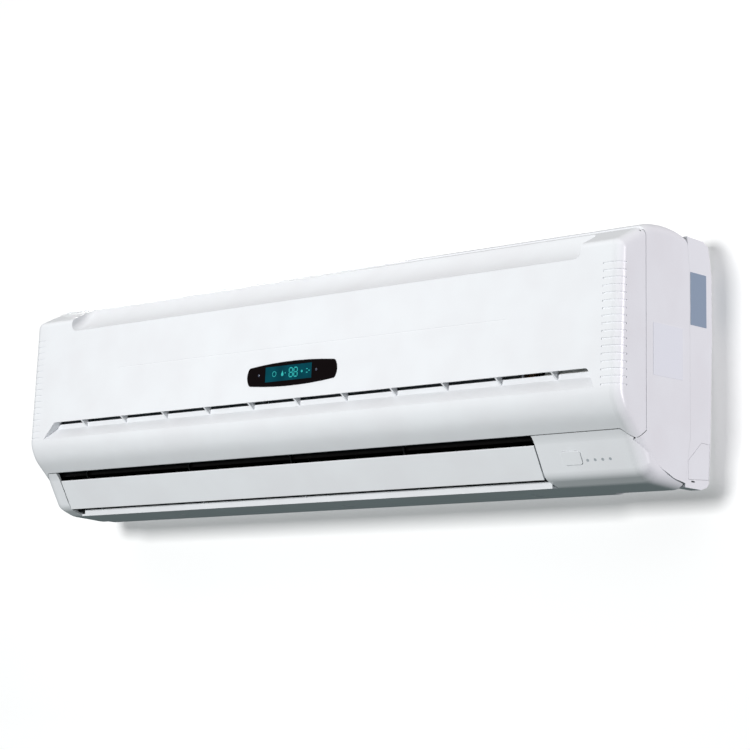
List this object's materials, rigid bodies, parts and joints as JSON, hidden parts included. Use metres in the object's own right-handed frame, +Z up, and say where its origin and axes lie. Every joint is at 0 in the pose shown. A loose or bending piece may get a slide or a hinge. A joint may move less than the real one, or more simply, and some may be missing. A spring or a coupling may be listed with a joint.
{
  "type": "wall fan coil unit",
  "caption": "Wall-hung fan coil unit with a lifting front panel, intake slot, display, swinging outlet flap and vertical vanes.",
  "frame": {"origin": "centre of the wall plate's screw pattern, on the wall plane", "axes": "+X to the right seen from the room, +Y into the wall, +Z up; the front faces -Y"},
  "size_m": [0.99, 0.1882, 0.297],
  "materials": {
    "casing_white": "moulded ABS, satin gloss",
    "display_dark": "smoked gloss",
    "display_lcd": "liquid crystal window",
    "circuit_board": "green solder mask",
    "light_guides": "clear acrylic, frosted",
    "blank_labels": "matt film",
    "zinc_steel": "zinc plated",
    "filter_plastic": "moulded frame with net",
    "aluminium_fins": "thin fins, pressed",
    "copper": "drawn copper tube",
    "brass": "turned brass",
    "bronze": "sintered bronze",
    "pan_plastic": "foamed polystyrene skin",
    "drain_vinyl": "soft vinyl",
    "fan_plastic": "glass filled plastic",
    "bright_steel": "ground",
    "rubber_black": "moulded rubber",
    "motor_casing": "pressed steel, painted",
    "bush_plastic": "acetal",
    "vane_plastic": "dark moulded plastic",
    "black_plastic": "moulded",
    "box_plastic": "flame retardant plastic",
    "terminal_plastic": "polyamide",
    "transformer_core": "laminated core"
  },
  "bodies": {
    "casing": {"air_sensor": "copper", "air_vent": "brass", "bearing_mount": "rubber_black", "button_switch": "black_plastic", "cable_clamp": "black_plastic", "coil_bends": "copper", "coil_end_plates": "zinc_steel", "coil_fins": "aluminium_fins", "control_board": "circuit_board", "control_box": "box_plastic", "control_box_cover": "box_plastic", "drain_pan": "pan_plastic", "drain_tube": "drain_vinyl", "fan_bearing": "bronze", "fan_motor": "motor_casing", "flap_bushes": "bush_plastic", "flap_motor": "motor_casing", "frame_screws": "bright_steel", "front_frame": "casing_white", "label_plates": "blank_labels", "lower_casing": "casing_white", "motor_bracket": "zinc_steel", "pipe_cover_left": "casing_white", "pipe_cover_right": "casing_white", "pipe_unions": "brass", "rear_chassis": "casing_white", "return_pipe": "copper", "screw_caps": "casing_white", "status_lights": "light_guides", "supply_pipe": "copper", "terminal_block": "terminal_plastic", "transformer": "transformer_core", "wall_plate": "zinc_steel"},
    "panel": {"front_panel": "casing_white", "display_bezel": "display_dark", "display_window": "display_lcd", "display_board": "circuit_board"},
    "flap": {"flap": "casing_white"},
    "fan": {"fan_rotor": "fan_plastic", "fan_shaft": "bright_steel"},
    "button": {"power_button": "casing_white"},
    "filter_left": {"filter_left": "filter_plastic"},
    "filter_right": {"filter_right": "filter_plastic"},
    "vane_link_left": {"vane_link_left": "vane_plastic"},
    "vane_link_right": {"vane_link_right": "vane_plastic"},
    "vane_1": {"vane_1": "vane_plastic"},
    "vane_2": {"vane_2": "vane_plastic"},
    "vane_3": {"vane_3": "vane_plastic"},
    "vane_4": {"vane_4": "vane_plastic"},
    "vane_5": {"vane_5": "vane_plastic"},
    "vane_6": {"vane_6": "vane_plastic"},
    "vane_7": {"vane_7": "vane_plastic"},
    "vane_8": {"vane_8": "vane_plastic"},
    "vane_9": {"vane_9": "vane_plastic"},
    "vane_10": {"vane_10": "vane_plastic"}
  },
  "joints": [
    {"name": "panel_hinge", "type": "hinge", "parent": "casing", "child": "panel", "pos_m": [0, -0.141, 0.1042], "axis": [-1, 0, 0], "range_deg": [0, 60]},
    {"name": "flap_hinge", "type": "hinge", "parent": "casing", "child": "flap", "pos_m": [0, -0.1315, -0.1555], "axis": [1, 0, 0], "range_deg": [0, 62]},
    {"name": "fan_spin", "type": "hinge", "parent": "casing", "child": "fan", "pos_m": [0, -0.088, -0.057], "axis": [1, 0, 0], "continuous": true},
    {"name": "button_press", "type": "slide", "parent": "casing", "child": "button", "axis": [0, 0.8774, 0.4797], "range_m": [0, 0.0015], "stiffness_N_per_m": 400, "springref_m": -0.001},
    {"name": "filter_left_lift", "type": "slide", "parent": "casing", "child": "filter_left", "axis": [0, 0, 1], "range_m": [0, 0.008]},
    {"name": "filter_right_lift", "type": "slide", "parent": "casing", "child": "filter_right", "axis": [0, 0, 1], "range_m": [0, 0.008]},
    {"name": "vane_1_turn", "type": "hinge", "parent": "casing", "child": "vane_1", "pos_m": [-0.414, -0.101, -0.15], "axis": [0, -0.6, 0.8], "range_deg": [-35, 35]},
    {"name": "vane_2_turn", "type": "hinge", "parent": "casing", "child": "vane_2", "pos_m": [-0.334, -0.101, -0.15], "axis": [0, -0.6, 0.8], "range_deg": [-35, 35]},
    {"name": "vane_3_turn", "type": "hinge", "parent": "casing", "child": "vane_3", "pos_m": [-0.254, -0.101, -0.15], "axis": [0, -0.6, 0.8], "range_deg": [-35, 35]},
    {"name": "vane_4_turn", "type": "hinge", "parent": "casing", "child": "vane_4", "pos_m": [-0.174, -0.101, -0.15], "axis": [0, -0.6, 0.8], "range_deg": [-35, 35]},
    {"name": "vane_5_turn", "type": "hinge", "parent": "casing", "child": "vane_5", "pos_m": [-0.094, -0.101, -0.15], "axis": [0, -0.6, 0.8], "range_deg": [-35, 35]},
    {"name": "vane_6_turn", "type": "hinge", "parent": "casing", "child": "vane_6", "pos_m": [-0.014, -0.101, -0.15], "axis": [0, -0.6, 0.8], "range_deg": [-35, 35]},
    {"name": "vane_7_turn", "type": "hinge", "parent": "casing", "child": "vane_7", "pos_m": [0.066, -0.101, -0.15], "axis": [0, -0.6, 0.8], "range_deg": [-35, 35]},
    {"name": "vane_8_turn", "type": "hinge", "parent": "casing", "child": "vane_8", "pos_m": [0.146, -0.101, -0.15], "axis": [0, -0.6, 0.8], "range_deg": [-35, 35]},
    {"name": "vane_9_turn", "type": "hinge", "parent": "casing", "child": "vane_9", "pos_m": [0.226, -0.101, -0.15], "axis": [0, -0.6, 0.8], "range_deg": [-35, 35]},
    {"name": "vane_10_turn", "type": "hinge", "parent": "casing", "child": "vane_10", "pos_m": [0.306, -0.101, -0.15], "axis": [0, -0.6, 0.8], "range_deg": [-35, 35]},
    {"name": "vane_link_left_pivot", "type": "hinge", "parent": "vane_1", "child": "vane_link_left", "pos_m": [-0.414, -0.0992, -0.1349], "axis": [0, -0.6, 0.8], "range_deg": [-35, 35]},
    {"name": "vane_link_right_pivot", "type": "hinge", "parent": "vane_6", "child": "vane_link_right", "pos_m": [-0.014, -0.0992, -0.1349], "axis": [0, -0.6, 0.8], "range_deg": [-35, 35]}
  ],
  "couplings": [
    {"joint": "vane_link_left_pivot", "follows": "vane_1_turn", "ratio": -1},
    {"joint": "vane_2_turn", "follows": "vane_1_turn", "ratio": 1},
    {"joint": "vane_3_turn", "follows": "vane_1_turn", "ratio": 1},
    {"joint": "vane_4_turn", "follows": "vane_1_turn", "ratio": 1},
    {"joint": "vane_5_turn", "follows": "vane_1_turn", "ratio": 1},
    {"joint": "vane_link_right_pivot", "follows": "vane_6_turn", "ratio": -1},
    {"joint": "vane_7_turn", "follows": "vane_6_turn", "ratio": 1},
    {"joint": "vane_8_turn", "follows": "vane_6_turn", "ratio": 1},
    {"joint": "vane_9_turn", "follows": "vane_6_turn", "ratio": 1},
    {"joint": "vane_10_turn", "follows": "vane_6_turn", "ratio": 1}
  ]
}
